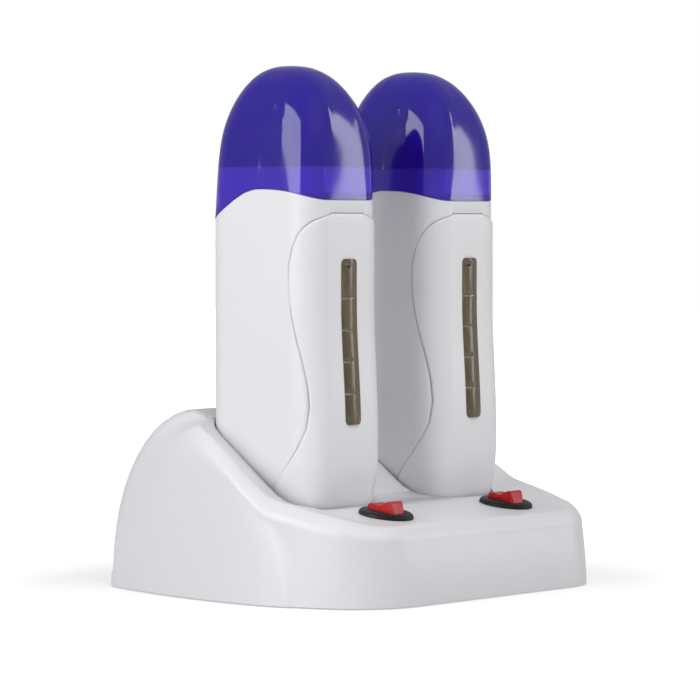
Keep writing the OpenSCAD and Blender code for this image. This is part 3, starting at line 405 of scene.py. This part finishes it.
# %% Caps with a crown
CROWN = 0.00035
CORNER = 0.0120
CUTS = (-0.66, -0.33, 0.0, 0.33, 0.66)
CAP_ANGLE = 40
for side in SIDES:
    cap = merged_copy(f"cap_{side}", f"cap_{side}_crowned")
    low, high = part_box(f"cap_{side}")
    middle = [(low[i] + high[i]) / 2 for i in range(2)]
    half = [(high[i] - low[i]) / 2 for i in range(2)]
    bpy.ops.object.mode_set(mode="EDIT")
    bpy.ops.mesh.select_all(action="SELECT")
    bpy.ops.mesh.tris_convert_to_quads(face_threshold=math.radians(180), shape_threshold=math.radians(180))
    for axis, normal in ((0, (1.0, 0.0, 0.0)), (1, (0.0, 1.0, 0.0))):
        for share in CUTS:
            point = [0.0, 0.0, 0.0]
            point[axis] = middle[axis] + share * (half[axis] - CORNER)
            bpy.ops.mesh.select_all(action="SELECT")
            bpy.ops.mesh.bisect(plane_co=point, plane_no=normal)
    bpy.ops.mesh.select_all(action="DESELECT")
    bpy.ops.mesh.edges_select_sharp(sharpness=math.radians(CAP_ANGLE))
    bpy.ops.transform.edge_crease(value=1.0)
    bpy.ops.object.mode_set(mode="OBJECT")
    group = cap.vertex_groups.new(name="crown")
    for vertex in cap.data.vertices:
        u = (vertex.co.x - middle[0]) / (half[0] - CORNER)
        v = (vertex.co.y - middle[1]) / (half[1] - CORNER)
        # The crown fades as the face turns into the dome, and the inside, which faces inwards, gets none
        sideways = max(0.0, vertex.normal.x * math.copysign(1.0, u)) ** 2
        forwards = max(0.0, vertex.normal.y * math.copysign(1.0, v)) ** 2
        weight = max(0.0, 1.0 - u * u) * forwards + max(0.0, 1.0 - v * v) * sideways
        group.add([vertex.index], min(1.0, weight), "REPLACE")
    bpy.ops.object.modifier_add(type="DISPLACE")
    cap.modifiers[-1].vertex_group = "crown"
    cap.modifiers[-1].mid_level = 0.0
    cap.modifiers[-1].strength = CROWN
    bpy.ops.object.modifier_apply(modifier=cap.modifiers[-1].name)
    bpy.ops.object.modifier_add(type="SUBSURF")
    cap.modifiers[-1].levels = 2
    bpy.ops.object.modifier_apply(modifier=cap.modifiers[-1].name)
    shade_round(cap, CAP_ANGLE, keep_flats=False)
    stand_in(cap, f"cap_{side}")
    print(cap.name, len(cap.data.polygons), "faces")

# %% [markdown]
# ## Softened rockers
# A rocker that a finger presses has no sharp edge. The CAD rocker is an extruded outline, so its copy has its flat
# sides made whole again by a limited dissolve, and a Bevel modifier rounds every sharp edge by half a millimetre.

# %% Rockers
ROCKER_ANGLE = 40
EDGE_WIDTH = 0.0005
EDGE_STEPS = 3
EDGE_FROM = math.radians(50)
for side in SIDES:
    rocker = merged_copy(f"rocker_{side}", f"rocker_{side}_soft")
    bpy.ops.object.mode_set(mode="EDIT")
    bpy.ops.mesh.select_all(action="SELECT")
    bpy.ops.mesh.dissolve_limited(angle_limit=math.radians(1))
    bpy.ops.object.mode_set(mode="OBJECT")
    bpy.ops.object.modifier_add(type="BEVEL")
    bevel = rocker.modifiers[-1]
    bevel.width, bevel.segments = EDGE_WIDTH, EDGE_STEPS
    bevel.limit_method, bevel.angle_limit = "ANGLE", EDGE_FROM
    bpy.ops.object.modifier_apply(modifier=bevel.name)
    shade_round(rocker, ROCKER_ANGLE, keep_flats=True)
    stand_in(rocker, f"rocker_{side}")
    print(rocker.name, len(rocker.data.polygons), "faces")

# %% [markdown]
# ## The studio
# A white floor and a white world fill the camera's view. Light Path tells the rays apart: the floor is white to the
# camera, and faintly so to reflections, which keeps the violet deep. To the lamps it stays a plain pale grey, so it
# doesn't flood the object with light, and it still takes the object's shadow. Away from the object the floor's glow
# rises to full white, as a retoucher would clear a catalogue picture. The world is white to
# the camera and through clear plastic, and dimmer to everything else.

# %% Floor
FLOOR_SIZE, FLOOR_GAP = 9.0, 0.0002
GLOW_NEAR, GLOW_FAR = 0.47, 1.0
NEAR, FAR = 0.14, 0.34
MIRRORED = 0.3
pale, tree = new_material("studio_paper")
seen = add(tree, "ShaderNodeLightPath")
dimmed = add(tree, "ShaderNodeMath", {1: MIRRORED}, {0: seen.outputs["Is Glossy Ray"]}, operation="MULTIPLY")
either = add(tree, "ShaderNodeMath", {}, {0: seen.outputs["Is Camera Ray"], 1: dimmed.outputs[0]},
             operation="MAXIMUM")
shown = add(tree, "ShaderNodeMath", {}, {0: either.outputs[0], 1: seen.outputs["Is Transmission Ray"]},
            operation="MAXIMUM")
paper = add(tree, "ShaderNodeBsdfDiffuse", {"Color": linear("#c4c4c5")})
place = add(tree, "ShaderNodeTexCoord").outputs["Object"]
away = add(tree, "ShaderNodeVectorMath", {}, {0: place}, operation="LENGTH")
lift = add(tree, "ShaderNodeMapRange", {"From Min": NEAR, "From Max": FAR, "To Min": GLOW_NEAR, "To Max": GLOW_FAR},
           {"Value": away.outputs["Value"]})
glow_level = add(tree, "ShaderNodeMath", {}, {0: shown.outputs[0], 1: lift.outputs["Result"]}, operation="MULTIPLY")
glow = add(tree, "ShaderNodeEmission", {"Color": (1.0, 1.0, 1.0, 1.0)}, {"Strength": glow_level.outputs[0]})
both = add(tree, "ShaderNodeAddShader", {}, {0: paper.outputs[0], 1: glow.outputs[0]})
add(tree, "ShaderNodeOutputMaterial", {}, {"Surface": both.outputs[0]})

bpy.ops.object.select_all(action="DESELECT")
bpy.ops.mesh.primitive_plane_add(size=FLOOR_SIZE, location=(0.0, 0.0, -FLOOR_GAP))
floor = bpy.context.object
floor.name = "studio_floor"
floor.data.materials.append(pale)
print("floor laid")

# %% World
world = bpy.data.worlds.new("studio_world")
bpy.context.scene.world = world
world.use_nodes = True
tree = world.node_tree
tree.nodes.clear()
seen = add(tree, "ShaderNodeLightPath")
shown = add(tree, "ShaderNodeMath", {},
            {0: seen.outputs["Is Camera Ray"], 1: seen.outputs["Is Transmission Ray"]}, operation="MAXIMUM")
level = add(tree, "ShaderNodeMapRange", {"To Min": 0.4, "To Max": 1.0}, {"Value": shown.outputs[0]})
air = add(tree, "ShaderNodeBackground", {"Color": (1.0, 1.0, 1.0, 1.0)}, {"Strength": level.outputs["Result"]})
add(tree, "ShaderNodeOutputWorld", {}, {"Surface": air.outputs[0]})
print("world made")

# %% [markdown]
# ## Softboxes
# The strips on the caps tell where the lamps stood: a big softbox to the left and a little behind, whose edge shows
# on each left face, and a narrow one to the right, which shows on each front face. A third hangs above the front.
# It lights the covers but shows in no reflection, as if its front were masked.

# %% Lamps
TARGET = (0.0, -0.008, 0.12)


def softbox(name, angle, distance, height, width, length, watts):
    # angle is measured from the object's left side towards its front
    turn = math.radians(angle)
    data = bpy.data.lights.new(name, "AREA")
    data.shape, data.size, data.size_y, data.energy = "RECTANGLE", width, length, watts
    lamp = bpy.data.objects.new(name, data)
    lamp.location = (-math.cos(turn) * distance, -math.sin(turn) * distance, height)
    bpy.context.scene.collection.objects.link(lamp)
    aim = [TARGET[i] - lamp.location[i] for i in range(3)]
    flat = math.hypot(aim[0], aim[1])
    lamp.rotation_euler = (math.atan2(flat, -aim[2]), 0.0, math.atan2(aim[1], aim[0]) - math.pi / 2)
    print(name, [round(v, 2) for v in lamp.location], "at", watts, "W")
    return lamp


softbox("softbox_left", -14.0, 1.6, 0.75, 1.35, 1.3, 19.0)
softbox("softbox_right", 140.5, 1.8, 0.7, 0.24, 1.3, 3.6)
softbox("softbox_top", 80.0, 1.0, 1.2, 1.2, 1.0, 12.0).visible_glossy = False
